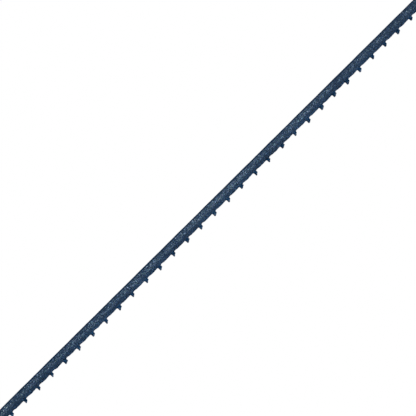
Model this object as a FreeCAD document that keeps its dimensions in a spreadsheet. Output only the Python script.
"""Adjustable jeweller's saw frame with a screw-tensioned upper clamp and a skip-tooth blade.

The saw stands with its handle down.  +Z runs along the blade from the handle to
the front arm, +X is the direction in which the teeth point, and the blade lies in
the plane Y = 0.  The thumb screws of the two blade clamps face -Y.  The origin is
the centre of the flat on the butt of the handle, on the axis of the tang.

All lengths are millimetres.  The driving sizes are cells of the sheet "dims".
"""
import FreeCAD, Part
import math
import os

import Sketcher
from FreeCAD import Placement, Rotation, Vector

# (alias, value, what it is)
CELLS = [
    # blade
    ("blade_len", 130.0, "overall length of a standard blade"),
    ("blade_width", 1.15, "width over the tooth tips and of the plain ends"),
    ("blade_root_w", 0.86, "width of the back behind the gullets"),
    ("blade_thick", 0.43, "thickness"),
    ("blade_back_x", -0.43, "back edge of the blade"),
    ("blade_low_z", 126.0, "lower end of the blade"),
    ("tooth_pitch", 1.58, "tooth to tooth, about 16 teeth to 25.4"),
    ("tooth_land", 0.11, "flat on the tip of a tooth"),
    ("tooth_back", 0.33, "length of a tooth along its root"),
    ("tooth_first", 14.5, "first gullet above the lower end"),
    ("tooth_gaps", 64, "number of gullets"),
    # clamps
    ("clamp_x", -6.5, "axis of the clamp screws and of the tension stud"),
    ("jaw_front_x", 1.5, "front edge of the jaws"),
    ("jaw_back_x", -12.5, "rear edge of the jaws"),
    ("jaw_len", 13.0, "height of the jaws"),
    ("jaw_depth", 5.0, "reach of the fixed jaws in +Y"),
    ("jaw_corner", 1.5, "rounded corners of jaws and plates"),
    ("jaw_gap", 0.1, "end play of a clamp plate"),
    ("low_jaw_z", 126.0, "bottom of the lower jaw"),
    ("up_jaw_z", 243.0, "bottom of the upper jaw"),
    ("low_screw_z", 131.6, "axis of the lower clamp screw"),
    ("up_screw_z", 250.4, "axis of the upper clamp screw"),
    ("dowel_step", 5.1, "screw axis to dowel axis"),
    ("plate_thick", 2.6, "thickness of a clamp plate"),
    ("plate_chamfer", 0.7, "chamfer round the outer face of a plate"),
    ("clamp_washer_thick", 0.8, "thickness of a clamp washer"),
    ("clamp_washer_rad", 4.3, "outer radius of a clamp washer"),
    ("washer_ease", 0.2, "bevel on the rim of any washer"),
    ("clamp_screw_rad", 1.95, "shank of a clamp screw"),
    ("clamp_thread_rad", 2.0, "threaded hole of a fixed jaw"),
    ("clamp_clear_rad", 2.04, "clearance hole of a plate or washer"),
    ("clamp_shank", 9.5, "shank length beyond the collar"),
    ("shank_ease", 0.5, "bevel on the end of a screw shank"),
    ("dowel_rad", 1.0, "dowel that keeps a plate square"),
    ("dowel_bore", 1.05, "running hole for a dowel"),
    ("dowel_len", 6.0, "dowel length"),
    ("dowel_seat", 3.6, "depth of a dowel in the fixed jaw"),
    ("dowel_ease", 0.2, "bevelled ends of a dowel"),
    # tension stud
    ("shoulder_top_z", 261.0, "top of the block over the upper jaws"),
    ("shoulder_front_x", -1.3, "front of that block, clear of the blade"),
    ("shoulder_side_y", 3.0, "reach of that block over the plate"),
    ("shoulder_edge", 1.0, "rounded edges of that block"),
    ("square_side", 5.0, "square neck of the stud"),
    ("square_top_z", 270.6, "top of the square neck"),
    ("stud_rad", 2.45, "thread of the stud"),
    ("stud_top_z", 289.0, "top of the stud"),
    ("stud_chamfer", 0.6, "chamfer on the top of the stud"),
    ("nut_rad", 5.0, "knurled tension nut"),
    ("nut_height", 8.0, "height of the tension nut"),
    ("nut_bore", 2.5, "bore of the tension nut"),
    ("nut_low_edge", 0.7, "bevel round the bottom of the nut"),
    ("nut_top_edge", 0.9, "bevel round the top of the nut"),
    ("nut_low_mouth", 0.4, "countersink of the bore, bottom"),
    ("nut_top_mouth", 0.5, "countersink of the bore, top"),
    ("nut_flutes", 36, "flutes round the tension nut"),
    ("flute_depth", 0.32, "depth of a flute"),
    ("flute_out", 0.4, "reach of the flute cutter outside the nut"),
    ("flute_half", 0.62, "half width of the cutter at that reach"),
    ("tension_washer_thick", 1.0, "washer under the tension nut"),
    ("tension_washer_rad", 4.9, "outer radius of that washer"),
    ("tension_washer_bore", 2.53, "bore of that washer"),
    # bow
    ("bar_width", 9.0, "bar of the bow, in the plane of the frame"),
    ("bar_thick", 4.0, "bar of the bow, across the frame"),
    ("spine_in_x", -80.5, "inner face of the spine"),
    ("bend_in", 5.0, "inner radius of the bend"),
    ("arm_low_z", 264.0, "underside of the front arm"),
    ("spine_low_z", 102.0, "lower end of the spine"),
    ("bar_edge", 0.9, "eased edges of the bar"),
    ("spine_corner", 1.0, "rounded corners at the foot of the spine"),
    ("eye_rad", 5.0, "eye at the end of the front arm"),
    ("eye_proud", 0.5, "eye proud of the bar, top and bottom"),
    ("eye_edge", 0.6, "rounded rims of the eye"),
    ("square_clear", 0.05, "clearance of the square neck, each side"),
    ("stop_rad", 1.25, "stop pin"),
    ("stop_len", 7.4, "length of the stop pin"),
    ("stop_z", 105.2, "axis of the stop pin"),
    ("pin_ease", 0.25, "bevelled ends of the stop pin and tang pin"),
    # sliding arm
    ("slide_clear", 0.05, "clearance of the spine in the slide, each side"),
    ("box_low_z", 112.6, "bottom of the slide box"),
    ("box_high_z", 127.2, "top of the slide box"),
    ("box_back_x", -95.0, "back of the slide box"),
    ("box_front_x", -75.5, "front of the slide box"),
    ("box_half_y", 5.5, "half thickness of the slide box"),
    ("box_corner", 1.0, "rounding of the box edges along Y"),
    ("box_edge", 1.2, "rounding round the two side faces of the box"),
    ("boss_back_x", -99.5, "end of the boss for the lock screw"),
    ("boss_rad", 5.0, "boss for the lock screw"),
    ("boss_edge", 0.6, "rounded rim of the boss"),
    ("low_bar_z", 115.0, "underside of the sliding arm"),
    ("low_bar_half_y", 2.5, "half thickness of the sliding arm"),
    ("low_bar_edge", 0.9, "rounded long edges of the sliding arm"),
    ("block_low_z", 113.0, "underside of the block above the handle"),
    ("block_front_x", 6.2, "front of that block"),
    ("block_half_y", 5.2, "half thickness of that block"),
    ("block_corner", 2.4, "rounded upright corners of that block"),
    ("block_edge", 0.5, "rounded top and bottom rims of that block"),
    ("collar_rad", 4.6, "collar between block and ferrule"),
    ("collar_low_z", 106.0, "underside of the collar"),
    # slide lock
    ("lock_z", 119.9, "axis of the slide lock screw"),
    ("shoe_thick", 2.0, "pressure shoe"),
    ("shoe_high", 6.0, "height of the shoe"),
    ("shoe_wide", 3.9, "width of the shoe"),
    ("pocket_deep", 3.4, "pocket for the shoe"),
    ("pocket_high", 6.2, "height of that pocket"),
    ("lock_screw_rad", 2.45, "shank of the slide lock screw"),
    ("lock_thread_rad", 2.5, "threaded hole of the slide lock"),
    ("lock_shank", 9.6, "shank length beyond the collar"),
    # handle
    ("tang_rad", 3.0, "tang"),
    ("tang_low_z", 52.0, "lower end of the tang"),
    ("tang_top_z", 122.0, "top of the tang"),
    ("tang_taper", 1.6, "loss of radius at the lower end"),
    ("tang_taper_len", 5.0, "length of that taper"),
    ("tang_ease", 0.5, "bevel on the top of the tang"),
    ("tang_pin_rad", 1.25, "cross pin through block and tang"),
    ("tang_pin_z", 117.6, "axis of the cross pin"),
    ("tang_pin_proud", 0.25, "cross pin proud of the block, each side"),
    ("butt_rad", 7.0, "flat on the butt of the handle"),
    ("grip_rad", 15.0, "largest radius of the grip"),
    ("grip_z", 33.0, "height of the largest radius"),
    ("waist_rad", 9.6, "waist of the handle"),
    ("waist_z", 80.0, "height of the waist"),
    ("neck_rad", 7.7, "neck inside the ferrule"),
    ("shoulder_z", 88.0, "shoulder of the handle, bottom of the ferrule"),
    ("neck_top_z", 104.9, "top of the wooden neck"),
    ("ferrule_rad", 8.6, "outer radius of the ferrule"),
    ("ferrule_top_z", 106.0, "top of the ferrule"),
    ("ferrule_wall", 0.9, "wall of the ferrule"),
    ("ferrule_round", 1.4, "rounded top rim of the ferrule"),
    ("ferrule_tang_gap", 0.4, "gap between ferrule and tang"),
    ("ferrule_neck_gap", 0.2, "gap above the wooden neck"),
    ("bead_low", 2.2, "start of the bead, above the shoulder"),
    ("bead_high", 4.4, "end of the bead, above the shoulder"),
    ("bead_rad", 1.6, "radius of the bead"),
]

ARM_LAP = 1.0  # overlap of neighbouring solids of the sliding arm
STUD_LAP = 0.5  # overlap of neighbouring solids of the tension stud
RUNOUT = 1.0  # how far a cut starts outside the metal
THREAD_START = 2.0  # start of a jaw's threaded hole, on the -Y side of the blade


# ---------------------------------------------------------------- sizes
class Size:
    """A length: its value, and the same length as a formula on the cells of the sheet."""

    def __init__(self, value, formula):
        self.value = float(value)
        self.formula = formula

    def joined(self, value, sign, other):
        return Size(value, "(%s %s %s)" % (self.formula, sign, other.formula))

    def __add__(self, other):
        other = as_size(other)
        return self.joined(self.value + other.value, "+", other)

    def __sub__(self, other):
        other = as_size(other)
        return self.joined(self.value - other.value, "-", other)

    def __mul__(self, other):
        other = as_size(other)
        return self.joined(self.value * other.value, "*", other)

    def __truediv__(self, other):
        other = as_size(other)
        return self.joined(self.value / other.value, "/", other)

    def __neg__(self):
        return Size(-self.value, "(0 - %s)" % self.formula)


def as_size(length):
    return length if isinstance(length, Size) else Size(length, repr(float(length)))


def bind(obj, path, size):
    """Lets the sheet drive a property, unless the size is a plain number."""
    if "dims." in size.formula:
        obj.setExpression(path, size.formula)


class Dims:
    """The cells of the sheet, each as a Size."""


doc = FreeCAD.newDocument("JewelersSaw")
sheet = doc.addObject("Spreadsheet::Sheet", "dims")
dims = Dims()
for row, (alias, value, note) in enumerate(CELLS, 1):
    sheet.set("A%d" % row, alias)
    sheet.set("B%d" % row, repr(value))
    sheet.set("C%d" % row, note)
    sheet.setAlias("B%d" % row, alias)
    setattr(dims, alias, Size(value, "dims." + alias))
doc.recompute()

# places shared by several pieces
half_blade = dims.blade_thick / 2
plate_face_y = -(half_blade + dims.plate_thick)
low_dowel_z = dims.low_screw_z + dims.dowel_step
up_dowel_z = dims.up_screw_z - dims.dowel_step
spine_out_x = dims.spine_in_x - dims.bar_width
spine_mid_x = dims.spine_in_x - dims.bar_width / 2
arm_top_z = dims.arm_low_z + dims.bar_width
eye_low_z = dims.arm_low_z - dims.eye_proud
eye_top_z = arm_top_z + dims.eye_proud


# ---------------------------------------------------------------- sketches
def new_body(name):
    body = doc.addObject("PartDesign::Body", name)
    body.Label = name
    return body


def new_sketch(body, name, role, offset=None):
    """A sketch on one of the body's own origin planes, moved along that plane's normal.
    The normal of XZ_Plane is -Y."""
    sketch = body.newObject("Sketcher::SketchObject", name)
    plane = [f for f in body.Origin.OriginFeatures if f.Role == role][0]
    sketch.AttachmentSupport = [(plane, "")]
    sketch.MapMode = "FlatFace"
    if offset is not None:
        offset = as_size(offset)
        sketch.AttachmentOffset = Placement(Vector(0, 0, offset.value), Rotation())
        bind(sketch, ".AttachmentOffset.Base.z", offset)
    return sketch


def constrain(sketch, constraint, size):
    index = sketch.addConstraint(constraint)
    bind(sketch, "Constraints[%d]" % index, size)


def pin_point(sketch, geometry, end, x, y):
    """Fixes one point of a sketch at (x, y)."""
    for kind, size, axis in (("DistanceX", x, -2), ("DistanceY", y, -1)):
        if abs(size.value) < 1e-9:
            sketch.addConstraint(Sketcher.Constraint("PointOnObject", geometry, end, axis))
        else:
            distance = Sketcher.Constraint(kind, -1, 1, geometry, end, size.value)
            constrain(sketch, distance, size)


def add_arc(sketch, start, end, bend):
    """An arc from start to end; returns (geometry, its start point, its end point)."""
    left = bend.value > 0
    radius = bend if left else -bend
    half = (end - start).Length / 2
    rise = math.sqrt(max(radius.value**2 - half**2, 0.0))
    along = (end - start).normalize()
    normal = Vector(-along.y, along.x, 0)
    centre = (start + end) * 0.5 + normal * (rise if left else -rise)
    first, last = (start, end) if left else (end, start)
    angle_0 = math.atan2(first.y - centre.y, first.x - centre.x)
    angle_1 = math.atan2(last.y - centre.y, last.x - centre.x)
    if angle_1 < angle_0:
        angle_1 += 2 * math.pi
    full = Part.Circle(centre, Vector(0, 0, 1), radius.value)
    arc = sketch.addGeometry(Part.ArcOfCircle(full, angle_0, angle_1), False)
    constrain(sketch, Sketcher.Constraint("Radius", arc, radius.value), radius)
    return (arc, 1, 2) if left else (arc, 2, 1)


def outline(sketch, points):
    """A closed outline.  Each point is (x, y) for a straight side that ends there, or
    (x, y, r) for an arc that ends there: r > 0 turns left on the way, r < 0 turns right."""
    points = [[as_size(number) for number in point] for point in points]
    corners = [Vector(point[0].value, point[1].value, 0) for point in points]
    sides = []
    for i, point in enumerate(points):
        start, end = corners[i - 1], corners[i]
        if len(point) > 2:
            sides.append(add_arc(sketch, start, end, point[2]))
        else:
            sides.append((sketch.addGeometry(Part.LineSegment(start, end), False), 1, 2))
    for i, (side, _, end) in enumerate(sides):
        following, start, _ = sides[(i + 1) % len(sides)]
        sketch.addConstraint(Sketcher.Constraint("Coincident", side, end, following, start))
        pin_point(sketch, side, end, points[i][0], points[i][1])


def rectangle(sketch, x0, x1, y0, y1):
    outline(sketch, [(x1, y0), (x1, y1), (x0, y1), (x0, y0)])


def circle(sketch, x, y, radius):
    x, y = as_size(x), as_size(y)
    full = Part.Circle(Vector(x.value, y.value, 0), Vector(0, 0, 1), radius.value)
    geometry = sketch.addGeometry(full, False)
    pin_point(sketch, geometry, 3, x, y)
    constrain(sketch, Sketcher.Constraint("Radius", geometry, radius.value), radius)


# ---------------------------------------------------------------- features
def extrude(body, kind, sketch, length, symmetric=False, back=False):
    """A Pad or a Pocket; one that leaves the volume as it was is an error."""
    doc.recompute()
    before = 0.0 if body.Shape.isNull() else body.Shape.Volume
    length = as_size(length)
    feature = body.newObject("PartDesign::" + kind, sketch.Name + "_" + kind.lower())
    feature.Profile = sketch
    feature.SideType = "Symmetric" if symmetric else "One side"
    feature.Reversed = back
    feature.Length = length.value
    bind(feature, "Length", length)
    doc.recompute()
    growth = body.Shape.Volume - before
    if (growth if kind == "Pad" else -growth) <= 1e-9:
        raise RuntimeError("%s changed nothing" % feature.Name)
    return feature


def bore_across(body, name, x, z, radius, length):
    """A hole along Y, its length centred on the plane of the blade."""
    sketch = new_sketch(body, name, "XZ_Plane")
    circle(sketch, x, z, radius)
    extrude(body, "Pocket", sketch, length, symmetric=True)


def revolve(body, sketch):
    feature = body.newObject("PartDesign::Revolution", sketch.Name + "_turned")
    feature.Profile = sketch
    feature.ReferenceAxis = (sketch, ["V_Axis"])
    feature.Angle = 360
    doc.recompute()


def turned_body(name, points):
    """A body turned about its own Z axis from an outline of (radius, z) points."""
    body = new_body(name)
    sketch = new_sketch(body, name + "_profile", "XZ_Plane")
    outline(sketch, points)
    revolve(body, sketch)
    return body


def ease_edges(body, size, wanted, kind="Fillet"):
    """Rounds (or chamfers) the edges whose bounding box wanted(box) picks."""
    edges = body.Tip.Shape.Edges
    names = ["Edge%d" % i for i, edge in enumerate(edges, 1) if wanted(edge.BoundBox)]
    if not names:
        raise RuntimeError("no edge to ease on " + body.Name)
    base = body.Tip
    size = as_size(size)
    feature = body.newObject("PartDesign::" + kind, body.Name + "_" + kind.lower())
    feature.Base = (base, names)
    parameter = "Radius" if kind == "Fillet" else "Size"
    setattr(feature, parameter, size.value)
    bind(feature, parameter, size)
    doc.recompute()
    if "Invalid" in feature.State or "Error" in feature.State or not body.Shape.isValid():
        raise RuntimeError("easing failed on " + body.Name)


def near(length, target):
    return abs(length - as_size(target).value) < 1e-3


def flat(box, axes):
    """True if the box has no extent along any of the axes."""
    return all(near(getattr(box, axis + "Length"), 0) for axis in axes)


def on_side(box, half_y):
    """True for an edge that lies in one of the planes Y = +half_y and Y = -half_y."""
    return near(abs(box.YMin), half_y) and flat(box, "Y")


def place(body, x, y, z, turn=Rotation()):
    spot = [as_size(x), as_size(y), as_size(z)]
    body.Placement = Placement(Vector(*[size.value for size in spot]), turn)
    for axis, size in zip("xyz", spot):
        bind(body, ".Placement.Base." + axis, size)
    doc.recompute()


# ways to lay a body's own +Z axis
Z_TO_MINUS_Y = Rotation(Vector(1, 0, 0), 90)
Z_TO_PLUS_Y = Rotation(Vector(1, 0, 0), -90)
Z_TO_PLUS_X = Rotation(Vector(0, 1, 0), 90)


# ---------------------------------------------------------------- shared fittings
def cross_pin(name, radius, length, x, y, z, ease):
    """A plain pin with bevelled ends, lying along Y and centred at (x, y, z)."""
    half = length / 2
    body = turned_body(name, [
        (radius - ease, -half),
        (radius, -half + ease),
        (radius, half - ease),
        (radius - ease, half),
        (0, half),
        (0, -half),
    ])
    place(body, x, y, z, Z_TO_MINUS_Y)
    return body


def washer(name, bore, outer, thick):
    """A washer on z = 0, bevelled round its upper rim."""
    return turned_body(name, [
        (outer, 0),
        (outer, thick - dims.washer_ease),
        (outer - dims.washer_ease, thick),
        (bore, thick),
        (bore, 0),
    ])


# (radius, z) up the neck and collar of a thumb screw of scale 1
COLLAR = [(2.7, -3.4), (2.7, -2.0), (3.7, -1.7), (4.0, -1.4), (4.0, -0.3), (3.7, 0)]


def thumb_screw(name, shank_rad, shank_len, scale=1.0):
    """A forged thumb screw along its own Z: shank up, collar bearing face at z = 0,
    flat spade below it."""
    body = new_body(name)
    # The spade: two round ears joined to the neck by hollow curves, every join tangent.
    ear = 3.4 * scale  # radius of an ear
    ear_x = 3.6 * scale  # centre of an ear
    hollow = 2.4 * scale  # radius of a hollow curve
    neck = 2.5 * scale  # half width of the neck
    neck_top = -1.2 * scale
    hollow_z = -2.6 * scale  # upper end and centre of the hollow curves
    spade_thick = 2.6 * scale
    spade_edge = 0.7 * scale
    rounded_below = -1.3 * scale  # edges that reach below this are rounded
    aside = ear_x - neck - hollow
    drop = math.sqrt((ear + hollow) ** 2 - aside**2)
    share = hollow / (hollow + ear)
    join_x = neck + hollow + aside * share
    join_z = hollow_z - drop * share
    foot = hollow_z - drop - ear
    sketch = new_sketch(body, name + "_spade", "XZ_Plane")
    outline(sketch, [
        (neck, neck_top),
        (-neck, neck_top),
        (-neck, hollow_z),
        (-join_x, join_z, -hollow),
        (-ear_x, foot, ear),
        (ear_x, foot),
        (join_x, join_z, ear),
        (neck, hollow_z, -hollow),
    ])
    extrude(body, "Pad", sketch, spade_thick, symmetric=True)
    ease_edges(
        body,
        spade_edge,
        lambda box: on_side(box, spade_thick / 2) and box.ZMin < rounded_below,
    )
    collar = [(radius * scale, z * scale) for radius, z in COLLAR]
    sketch = new_sketch(body, name + "_turning", "XZ_Plane")
    outline(sketch, collar + [
        (shank_rad, 0),
        (shank_rad, shank_len - dims.shank_ease),
        (shank_rad - dims.shank_ease, shank_len),
        (0, shank_len),
        (0, collar[0][1]),
    ])
    revolve(body, sketch)
    return body


def bore_fixed_jaw(body, prefix, screw_z, dowel_z):
    """The threaded hole of a fixed jaw, and the blind seat of its dowel."""
    sketch = new_sketch(body, prefix + "_jaw_thread", "XZ_Plane", THREAD_START)
    circle(sketch, dims.clamp_x, screw_z, dims.clamp_thread_rad)
    extrude(body, "Pocket", sketch, dims.jaw_depth + 2 * THREAD_START)
    sketch = new_sketch(body, prefix + "_jaw_dowel", "XZ_Plane", -half_blade)
    circle(sketch, dims.clamp_x, dowel_z, dims.dowel_rad)
    extrude(body, "Pocket", sketch, dims.dowel_seat)


# ---------------------------------------------------------------- blade
def saw_blade():
    """A steel strip with gullets cut out of its front edge.  They leave small, widely
    spaced teeth whose steep faces look down, towards the handle, so the saw cuts on
    the pull.  Both ends are left plain for the clamps."""
    tip_x = dims.blade_back_x + dims.blade_width
    root_x = dims.blade_back_x + dims.blade_root_w
    blade = new_body("saw_blade")
    sketch = new_sketch(blade, "blade_strip", "XZ_Plane")
    blade_top_z = dims.blade_low_z + dims.blade_len
    rectangle(sketch, dims.blade_back_x, tip_x, dims.blade_low_z, blade_top_z)
    extrude(blade, "Pad", sketch, dims.blade_thick, symmetric=True)

    outer_x = tip_x + 0.2  # the cut starts in front of the strip
    floor_x = root_x - 0.02  # deepest part of the gullet
    heel_x = root_x + (tip_x - root_x) * 0.58  # kink in the sloping back of a tooth
    heel_share = 0.62  # height of the kink, as a share of the slope
    face_start = 0.16  # the tooth face leaves the root this far below its tip
    face_kink_x = root_x + 0.05
    face_kink = 0.05  # kink of the face below the tip
    low_z = dims.blade_low_z + dims.tooth_first
    slope = dims.tooth_back - dims.tooth_land
    high_z = low_z + dims.tooth_pitch - dims.tooth_land
    sketch = new_sketch(blade, "blade_gullet", "XZ_Plane")
    outline(sketch, [
        (outer_x, low_z),
        (tip_x, low_z),
        (heel_x, low_z + slope * heel_share),
        (floor_x, low_z + slope),
        (floor_x, low_z + dims.tooth_back),
        (root_x, high_z - face_start),
        (face_kink_x, high_z - face_kink),
        (tip_x, high_z),
        (outer_x, high_z),
    ])
    gullet = extrude(blade, "Pocket", sketch, dims.blade_thick * 3, symmetric=True)
    pattern = blade.newObject("PartDesign::LinearPattern", "blade_gullets")
    pattern.Originals = [gullet]
    pattern.Direction = (sketch, ["V_Axis"])
    bind(pattern, "Length", dims.tooth_pitch * (dims.tooth_gaps - 1))
    bind(pattern, "Occurrences", dims.tooth_gaps)
    blade.Tip = pattern
    doc.recompute()
    return blade


# ---------------------------------------------------------------- bow
def bow_bar():
    """One flat steel bar, bent once: the spine, and the front arm that ends in an eye
    with a square hole for the neck of the tension stud."""
    bend_x = dims.spine_in_x + dims.bend_in
    bend_z = dims.arm_low_z - dims.bend_in
    bow = new_body("bow")
    sketch = new_sketch(bow, "bow_bar", "XZ_Plane")
    outline(sketch, [
        (spine_out_x, bend_z, dims.bend_in + dims.bar_width),
        (spine_out_x, dims.spine_low_z),
        (dims.spine_in_x, dims.spine_low_z),
        (dims.spine_in_x, bend_z),
        (bend_x, dims.arm_low_z, -dims.bend_in),
        (dims.clamp_x, dims.arm_low_z),
        (dims.clamp_x, arm_top_z),
        (bend_x, arm_top_z),
    ])
    extrude(bow, "Pad", sketch, dims.bar_thick, symmetric=True)
    ease_edges(
        bow,
        dims.spine_corner,
        lambda box: near(box.ZMin, dims.spine_low_z) and flat(box, "XZ"),
    )
    # all edges of the two sides but those at the arm's end, which the eye covers
    ease_edges(
        bow,
        dims.bar_edge,
        lambda box: on_side(box, dims.bar_thick / 2) and not near(box.XMin, dims.clamp_x),
    )
    sketch = new_sketch(bow, "bow_eye", "XY_Plane", eye_low_z)
    circle(sketch, dims.clamp_x, 0, dims.eye_rad)
    extrude(bow, "Pad", sketch, eye_top_z - eye_low_z)
    ease_edges(
        bow,
        dims.eye_edge,
        lambda box: flat(box, "Z")
        and (near(box.ZMin, eye_low_z) or near(box.ZMin, eye_top_z)),
    )
    sketch = new_sketch(bow, "bow_square", "XY_Plane", eye_low_z - RUNOUT)
    half = dims.square_side / 2 + dims.square_clear
    rectangle(sketch, dims.clamp_x - half, dims.clamp_x + half, -half, half)
    extrude(bow, "Pocket", sketch, eye_top_z - eye_low_z + 3 * RUNOUT, back=True)
    bore_across(
        bow, "bow_pin_hole", spine_mid_x, dims.stop_z, dims.stop_rad, dims.bar_thick * 2
    )
    return bow


def spine_stop_pin():
    return cross_pin(
        "spine_stop_pin", dims.stop_rad, dims.stop_len,
        spine_mid_x, 0, dims.stop_z, dims.pin_ease,
    )


# ---------------------------------------------------------------- sliding arm
def add_slide_box(arm):
    sketch = new_sketch(arm, "arm_box", "XZ_Plane")
    rectangle(sketch, dims.box_back_x, dims.box_front_x, dims.box_low_z, dims.box_high_z)
    extrude(arm, "Pad", sketch, dims.box_half_y * 2, symmetric=True)
    ease_edges(arm, dims.box_corner, lambda box: box.YLength > dims.box_half_y.value)
    ease_edges(arm, dims.box_edge, lambda box: on_side(box, dims.box_half_y))


def add_arm_bar(arm):
    long_edge = 40.0  # only the bar has edges longer than this along X
    sketch = new_sketch(arm, "arm_bar", "XZ_Plane")
    rectangle(
        sketch,
        dims.box_front_x - ARM_LAP,
        dims.jaw_back_x + 2 * ARM_LAP,
        dims.low_bar_z,
        dims.low_bar_z + dims.bar_width,
    )
    extrude(arm, "Pad", sketch, dims.low_bar_half_y * 2, symmetric=True)
    ease_edges(
        arm,
        dims.low_bar_edge,
        lambda box: on_side(box, dims.low_bar_half_y) and box.XLength > long_edge,
    )


def add_handle_block(arm):
    """The block above the handle, and the collar under it."""
    half = dims.block_half_y
    margin = 0.01

    def on_block(box):
        return box.XMin > dims.jaw_back_x.value - margin

    def on_rim(box):
        reach = max(abs(box.YMin), abs(box.YMax))
        return (
            flat(box, "Z")
            and on_block(box)
            and (near(box.ZMin, dims.block_low_z) or near(box.ZMin, dims.low_jaw_z))
            and reach > (half - dims.block_corner).value - margin
        )

    sketch = new_sketch(arm, "arm_block", "XY_Plane", dims.block_low_z)
    rectangle(sketch, dims.jaw_back_x, dims.block_front_x, -half, half)
    extrude(arm, "Pad", sketch, dims.low_jaw_z - dims.block_low_z)
    ease_edges(
        arm,
        dims.block_corner,
        lambda box: flat(box, "X") and on_side(box, half) and on_block(box),
    )
    ease_edges(arm, dims.block_edge, on_rim)
    sketch = new_sketch(arm, "arm_collar", "XY_Plane", dims.collar_low_z)
    circle(sketch, 0, 0, dims.collar_rad)
    extrude(arm, "Pad", sketch, dims.block_low_z - dims.collar_low_z + ARM_LAP)


def add_lower_jaw(arm):
    """The fixed jaw, its face on the +Y side of the blade."""
    jaw_top_z = dims.low_jaw_z + dims.jaw_len
    sketch = new_sketch(arm, "arm_jaw", "XZ_Plane", -half_blade)
    rectangle(
        sketch, dims.jaw_back_x, dims.jaw_front_x, dims.low_jaw_z - ARM_LAP, jaw_top_z
    )
    extrude(arm, "Pad", sketch, dims.jaw_depth - half_blade, back=True)
    ease_edges(
        arm, dims.jaw_corner, lambda box: flat(box, "XZ") and near(box.ZMin, jaw_top_z)
    )


def add_lock_boss(arm):
    sketch = new_sketch(arm, "arm_boss", "YZ_Plane", dims.boss_back_x)
    circle(sketch, 0, dims.lock_z, dims.boss_rad)
    extrude(arm, "Pad", sketch, dims.box_back_x - dims.boss_back_x + ARM_LAP)
    ease_edges(
        arm, dims.boss_edge, lambda box: near(box.XMin, dims.boss_back_x) and flat(box, "X")
    )


def cut_slide(arm):
    """The slot for the spine, the pocket for the shoe and the threaded hole behind it."""
    slot_half_y = dims.bar_thick / 2 + dims.slide_clear
    sketch = new_sketch(arm, "arm_slot", "XY_Plane", dims.box_low_z - RUNOUT)
    rectangle(
        sketch,
        spine_out_x - dims.slide_clear,
        dims.spine_in_x + dims.slide_clear,
        -slot_half_y,
        slot_half_y,
    )
    extrude(arm, "Pocket", sketch, dims.box_high_z - dims.box_low_z + 3 * RUNOUT, back=True)
    into_slot = 0.5  # the pocket's cut runs this far into the slot
    sketch = new_sketch(arm, "arm_shoe_pocket", "XZ_Plane")
    rectangle(
        sketch,
        spine_out_x - dims.pocket_deep,
        spine_out_x + into_slot,
        dims.lock_z - dims.pocket_high / 2,
        dims.lock_z + dims.pocket_high / 2,
    )
    extrude(arm, "Pocket", sketch, slot_half_y * 2, symmetric=True)
    sketch = new_sketch(arm, "arm_lock_hole", "YZ_Plane", dims.boss_back_x - RUNOUT)
    circle(sketch, 0, dims.lock_z, dims.lock_thread_rad)
    extrude(arm, "Pocket", sketch, spine_out_x - dims.boss_back_x, back=True)


def lower_arm():
    """One forging: the slide box on the spine, the arm, the block over the handle with
    its collar, and the fixed lower jaw."""
    arm = new_body("lower_arm")
    add_slide_box(arm)
    add_arm_bar(arm)
    add_handle_block(arm)
    add_lower_jaw(arm)
    add_lock_boss(arm)
    cut_slide(arm)
    bore_fixed_jaw(arm, "arm", dims.low_screw_z, low_dowel_z)
    # socket for the tang, and the hole of its cross pin
    sketch = new_sketch(arm, "arm_socket", "XY_Plane", dims.collar_low_z - RUNOUT)
    circle(sketch, 0, 0, dims.tang_rad)
    extrude(arm, "Pocket", sketch, dims.tang_top_z - dims.collar_low_z + RUNOUT, back=True)
    bore_across(
        arm, "arm_pin_hole", 0, dims.tang_pin_z, dims.tang_pin_rad, dims.block_half_y * 3
    )
    return arm


# ---------------------------------------------------------------- upper clamp
def upper_clamp_stud():
    """The fixed upper jaw, the block above it, the square neck that slides in the eye
    of the bow, and the threaded stud that the tension nut pulls up."""
    stud = new_body("upper_clamp_stud")
    jaw_top_z = dims.up_jaw_z + dims.jaw_len
    sketch = new_sketch(stud, "stud_jaw", "XZ_Plane", -half_blade)
    rectangle(
        sketch, dims.jaw_back_x, dims.jaw_front_x, dims.up_jaw_z, jaw_top_z + STUD_LAP
    )
    extrude(stud, "Pad", sketch, dims.jaw_depth - half_blade, back=True)
    ease_edges(
        stud,
        dims.jaw_corner,
        lambda box: flat(box, "XZ")
        and (near(box.ZMin, dims.up_jaw_z) or near(box.XMin, dims.jaw_front_x)),
    )
    sketch = new_sketch(stud, "stud_block", "XZ_Plane", dims.shoulder_side_y)
    rectangle(
        sketch, dims.jaw_back_x, dims.shoulder_front_x, jaw_top_z, dims.shoulder_top_z
    )
    extrude(stud, "Pad", sketch, dims.shoulder_side_y + dims.jaw_depth, back=True)
    # the edges round the block's -Y face and round its top
    ease_edges(
        stud,
        dims.shoulder_edge,
        lambda box: (flat(box, "Y") and near(box.YMin, -dims.shoulder_side_y))
        or (flat(box, "Z") and near(box.ZMin, dims.shoulder_top_z)),
    )
    low_z = dims.shoulder_top_z - STUD_LAP
    half = dims.square_side / 2
    sketch = new_sketch(stud, "stud_square", "XY_Plane", low_z)
    rectangle(sketch, dims.clamp_x - half, dims.clamp_x + half, -half, half)
    extrude(stud, "Pad", sketch, dims.square_top_z - low_z)
    low_z = dims.square_top_z - STUD_LAP
    sketch = new_sketch(stud, "stud_thread", "XY_Plane", low_z)
    circle(sketch, dims.clamp_x, 0, dims.stud_rad)
    extrude(stud, "Pad", sketch, dims.stud_top_z - low_z)
    ease_edges(
        stud, dims.stud_chamfer, lambda box: near(box.ZMin, dims.stud_top_z), "Chamfer"
    )
    bore_fixed_jaw(stud, "stud", dims.up_screw_z, up_dowel_z)
    return stud


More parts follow.
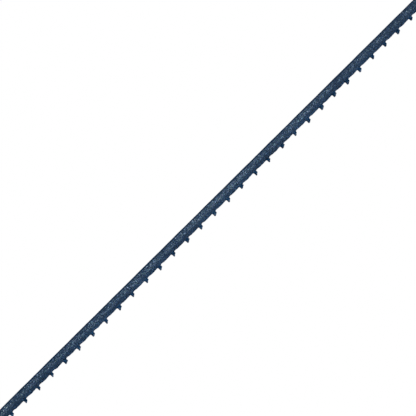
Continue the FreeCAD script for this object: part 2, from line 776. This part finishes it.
# ---------------------------------------------------------------- clamp fittings
def clamp_plate(name, jaw_z, screw_z, dowel_z):
    """The loose plate on the -Y side of the blade."""
    plate = new_body(name)
    sketch = new_sketch(plate, name + "_face", "XZ_Plane", half_blade)
    rectangle(
        sketch,
        dims.jaw_back_x,
        dims.jaw_front_x,
        jaw_z + dims.jaw_gap,
        jaw_z + dims.jaw_len - dims.jaw_gap,
    )
    extrude(plate, "Pad", sketch, dims.plate_thick)
    ease_edges(plate, dims.jaw_corner, lambda box: flat(box, "XZ"))
    ease_edges(
        plate,
        dims.plate_chamfer,
        lambda box: flat(box, "Y") and near(box.YMin, plate_face_y),
        "Chamfer",
    )
    through = dims.plate_thick * 3
    bore_across(plate, name + "_hole", dims.clamp_x, screw_z, dims.clamp_clear_rad, through)
    bore_across(plate, name + "_dowel_hole", dims.clamp_x, dowel_z, dims.dowel_bore, through)
    return plate


def clamp_fittings(which, jaw_z, screw_z, dowel_z):
    """The plate, dowel, washer and thumb screw of one clamp."""
    plate = clamp_plate(which + "_clamp_plate", jaw_z, screw_z, dowel_z)
    dowel_y = half_blade + dims.dowel_seat - dims.dowel_len / 2
    dowel = cross_pin(
        which + "_jaw_dowel", dims.dowel_rad, dims.dowel_len,
        dims.clamp_x, dowel_y, dowel_z, dims.dowel_ease,
    )
    ring = washer(
        which + "_clamp_washer",
        dims.clamp_clear_rad, dims.clamp_washer_rad, dims.clamp_washer_thick,
    )
    place(ring, dims.clamp_x, plate_face_y, screw_z, Z_TO_MINUS_Y)
    screw = thumb_screw(which + "_clamp_screw", dims.clamp_screw_rad, dims.clamp_shank)
    collar_y = plate_face_y - dims.clamp_washer_thick
    place(screw, dims.clamp_x, collar_y, screw_z, Z_TO_PLUS_Y)
    return [plate, dowel, ring, screw]


# ---------------------------------------------------------------- slide lock
def slide_shoe():
    """The shoe between the lock screw and the outer face of the spine."""
    shoe = new_body("slide_shoe")
    sketch = new_sketch(shoe, "shoe_face", "YZ_Plane", spine_out_x - dims.shoe_thick)
    rectangle(
        sketch,
        -dims.shoe_wide / 2,
        dims.shoe_wide / 2,
        dims.lock_z - dims.shoe_high / 2,
        dims.lock_z + dims.shoe_high / 2,
    )
    extrude(shoe, "Pad", sketch, dims.shoe_thick)
    return shoe


def slide_lock_screw():
    lock = thumb_screw("slide_lock_screw", dims.lock_screw_rad, dims.lock_shank, scale=1.2)
    collar_x = spine_out_x - dims.shoe_thick - dims.lock_shank
    place(lock, collar_x, 0, dims.lock_z, Z_TO_PLUS_X)
    return lock


# ---------------------------------------------------------------- tension nut
def tension_washer():
    ring = washer(
        "tension_washer",
        dims.tension_washer_bore, dims.tension_washer_rad, dims.tension_washer_thick,
    )
    place(ring, dims.clamp_x, 0, eye_top_z)
    return ring


def tension_nut():
    nut = turned_body("tension_nut", [
        (dims.nut_rad - dims.nut_low_edge, 0),
        (dims.nut_rad, dims.nut_low_edge),
        (dims.nut_rad, dims.nut_height - dims.nut_top_edge),
        (dims.nut_rad - dims.nut_top_edge, dims.nut_height),
        (dims.nut_bore + dims.nut_top_mouth, dims.nut_height),
        (dims.nut_bore, dims.nut_height - dims.nut_top_mouth),
        (dims.nut_bore, dims.nut_low_mouth),
        (dims.nut_bore + dims.nut_low_mouth, 0),
    ])
    sketch = new_sketch(nut, "nut_flute", "XY_Plane")
    outline(sketch, [
        (dims.nut_rad + dims.flute_out, -dims.flute_half),
        (dims.nut_rad + dims.flute_out, dims.flute_half),
        (dims.nut_rad - dims.flute_depth, 0),
    ])
    flute = extrude(nut, "Pocket", sketch, dims.nut_height, back=True)
    pattern = nut.newObject("PartDesign::PolarPattern", "nut_flutes_round")
    pattern.Originals = [flute]
    pattern.Axis = (sketch, ["N_Axis"])
    pattern.Angle = 360
    bind(pattern, "Occurrences", dims.nut_flutes)
    nut.Tip = pattern
    doc.recompute()
    place(nut, dims.clamp_x, 0, eye_top_z + dims.tension_washer_thick)
    return nut


# ---------------------------------------------------------------- handle
def handle():
    """The wooden grip, with a neck for the ferrule and a blind bore for the tang."""
    # (radius, z) or (radius, z, bend): up the outside, then down the bore
    return turned_body("handle", [
        (dims.butt_rad, 0),
        (dims.butt_rad + 4.6, 4.6, 6.4),
        (dims.grip_rad - 1.0, 17.0, 30.0),
        (dims.grip_rad, dims.grip_z, 78.0),
        (dims.waist_rad + 2.4, 61.0, 96.0),
        (dims.waist_rad, dims.waist_z, -62.0),
        (dims.waist_rad + 0.5, dims.shoulder_z - 2.6, -16.0),
        (dims.ferrule_rad, dims.shoulder_z, 2.8),
        (dims.neck_rad, dims.shoulder_z),
        (dims.neck_rad, dims.neck_top_z),
        (dims.tang_rad, dims.neck_top_z),
        (dims.tang_rad, dims.tang_low_z - 2),
        (0, dims.tang_low_z - 3.5),
        (0, 0),
    ])


def ferrule():
    """The metal cap on the wooden neck, with one bead round it."""
    inner_rad = dims.ferrule_rad - dims.ferrule_wall
    hole_rad = dims.tang_rad + dims.ferrule_tang_gap
    roof_z = dims.neck_top_z + dims.ferrule_neck_gap
    top_z = dims.ferrule_top_z
    rim = dims.ferrule_round
    return turned_body("ferrule", [
        (dims.ferrule_rad, dims.shoulder_z),
        (dims.ferrule_rad, dims.shoulder_z + dims.bead_low),
        (dims.ferrule_rad, dims.shoulder_z + dims.bead_high, dims.bead_rad),
        (dims.ferrule_rad, top_z - rim),
        (dims.ferrule_rad - rim, top_z, rim),
        (hole_rad, top_z),
        (hole_rad, roof_z),
        (inner_rad, roof_z),
        (inner_rad, dims.shoulder_z),
    ])


def tang():
    body = turned_body("tang", [
        (dims.tang_rad - dims.tang_taper, dims.tang_low_z),
        (dims.tang_rad, dims.tang_low_z + dims.tang_taper_len),
        (dims.tang_rad, dims.tang_top_z - dims.tang_ease),
        (dims.tang_rad - dims.tang_ease, dims.tang_top_z),
        (0, dims.tang_top_z),
        (0, dims.tang_low_z),
    ])
    bore_across(
        body, "tang_pin_hole", 0, dims.tang_pin_z, dims.tang_pin_rad, dims.tang_rad * 4
    )
    return body


def tang_pin():
    length = (dims.block_half_y + dims.tang_pin_proud) * 2
    return cross_pin(
        "tang_pin", dims.tang_pin_rad, length, 0, 0, dims.tang_pin_z, dims.pin_ease
    )


# ---------------------------------------------------------------- build and write
parts = [
    saw_blade(),
    bow_bar(),
    spine_stop_pin(),
    lower_arm(),
    upper_clamp_stud(),
    *clamp_fittings("lower", dims.low_jaw_z, dims.low_screw_z, low_dowel_z),
    *clamp_fittings("upper", dims.up_jaw_z, dims.up_screw_z, up_dowel_z),
    slide_shoe(),
    slide_lock_screw(),
    tension_washer(),
    tension_nut(),
    handle(),
    ferrule(),
    tang(),
    tang_pin(),
]
doc.recompute()
for obj in doc.Objects:
    if "Invalid" in obj.State or "Error" in obj.State:
        raise RuntimeError("%s is in state %s" % (obj.Name, obj.State))
for part in parts:
    shape = part.Shape
    if shape.isNull() or not shape.isValid() or len(shape.Solids) != 1:
        raise RuntimeError("%s is not one valid solid" % part.Label)
os.makedirs("parts", exist_ok=True)
for part in parts:
    part.Shape.exportStep("parts/%s.step" % part.Label)
